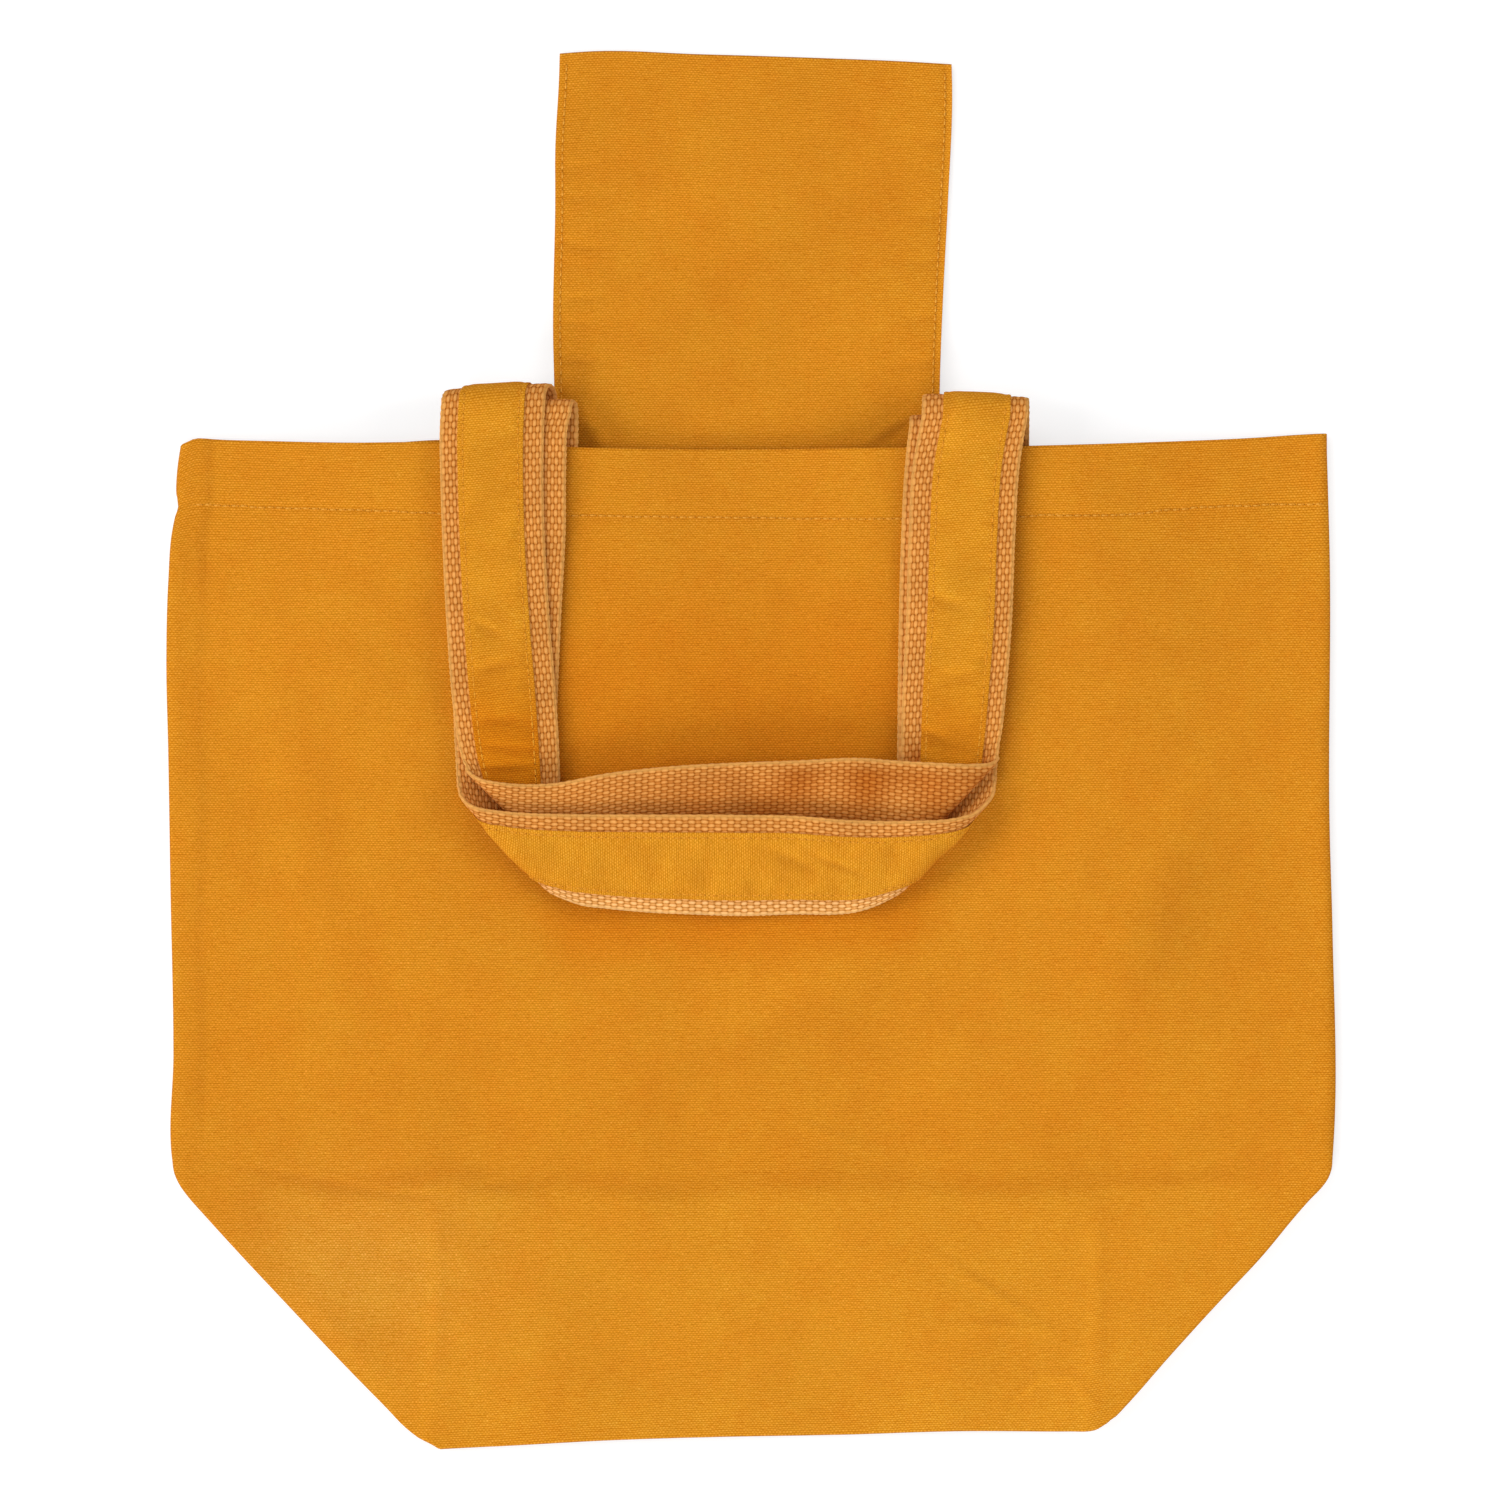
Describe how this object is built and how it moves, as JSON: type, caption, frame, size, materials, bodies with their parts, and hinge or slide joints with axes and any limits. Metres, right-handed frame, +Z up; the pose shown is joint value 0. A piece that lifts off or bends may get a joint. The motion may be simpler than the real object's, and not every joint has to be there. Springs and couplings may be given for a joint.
{
  "type": "shopper bag",
  "caption": "Canvas shopper bag lying flat, with its boxed base tucked in, a cloth flap at the mouth and webbing handles folded down over the front.",
  "frame": {"origin": "middle of the whole length and width, on the surface that the back panel lies on", "axes": "+X to the right, +Y from the folded base towards the mouth, +Z up from the back panel to the front"},
  "size_m": [0.411, 0.489, 0.0284],
  "materials": {
    "canvas": "dyed plain-weave cotton canvas, matt",
    "webbing": "dyed basket-weave cotton webbing, matt",
    "thread": "dyed cotton sewing thread"
  },
  "bodies": {
    "back": {"back_panel": "canvas", "back_hem": "canvas", "back_hem_stitch": "thread", "base_back": "canvas", "base_front": "canvas", "side_seam_left": "canvas", "side_seam_right": "canvas", "corner_seam_left": "canvas", "corner_seam_right": "canvas", "gusset_back_left": "canvas", "gusset_back_right": "canvas", "flap_root": "canvas", "back_tail_left": "webbing", "back_tail_right": "webbing"},
    "front": {"front_panel": "canvas", "front_hem": "canvas", "front_hem_stitch": "thread", "gusset_front_left": "canvas", "gusset_front_right": "canvas", "front_tail_left": "webbing", "front_tail_right": "webbing"},
    "flap": {"flap_lower_ply": "canvas", "flap_upper_ply": "canvas", "flap_stitch_left": "thread", "flap_stitch_right": "thread"},
    "front_handle": {"front_webbing_loop": "webbing", "front_strip_loop": "canvas", "front_bend_left": "webbing", "front_bend_right": "webbing"},
    "back_handle": {"back_webbing_loop": "webbing", "back_strip_loop": "canvas", "back_bend_left": "webbing", "back_bend_right": "webbing"}
  },
  "joints": [
    {"name": "mouth_open", "type": "hinge", "parent": "back", "child": "front", "pos_m": [0, -0.2445, 0.0047], "axis": [1, 0, 0], "range_deg": [0, 8]},
    {"name": "flap_fold", "type": "hinge", "parent": "back", "child": "flap", "pos_m": [0, 0.1196, 0.0153], "axis": [1, 0, 0], "range_deg": [0, 176]},
    {"name": "front_handle_swing", "type": "hinge", "parent": "front", "child": "front_handle", "pos_m": [0, 0.1196, 0.0153], "axis": [-1, 0, 0], "range_deg": [0, 170], "deforming": ["front_bend_left", "front_bend_right"]},
    {"name": "back_handle_swing", "type": "hinge", "parent": "front", "child": "back_handle", "pos_m": [0, 0.1196, 0.0153], "axis": [-1, 0, 0], "range_deg": [0, 170], "deforming": ["back_bend_left", "back_bend_right"]}
  ],
  "couplings": [
    {"joint": "back_handle_swing", "follows": "front_handle_swing", "ratio": 1}
  ]
}
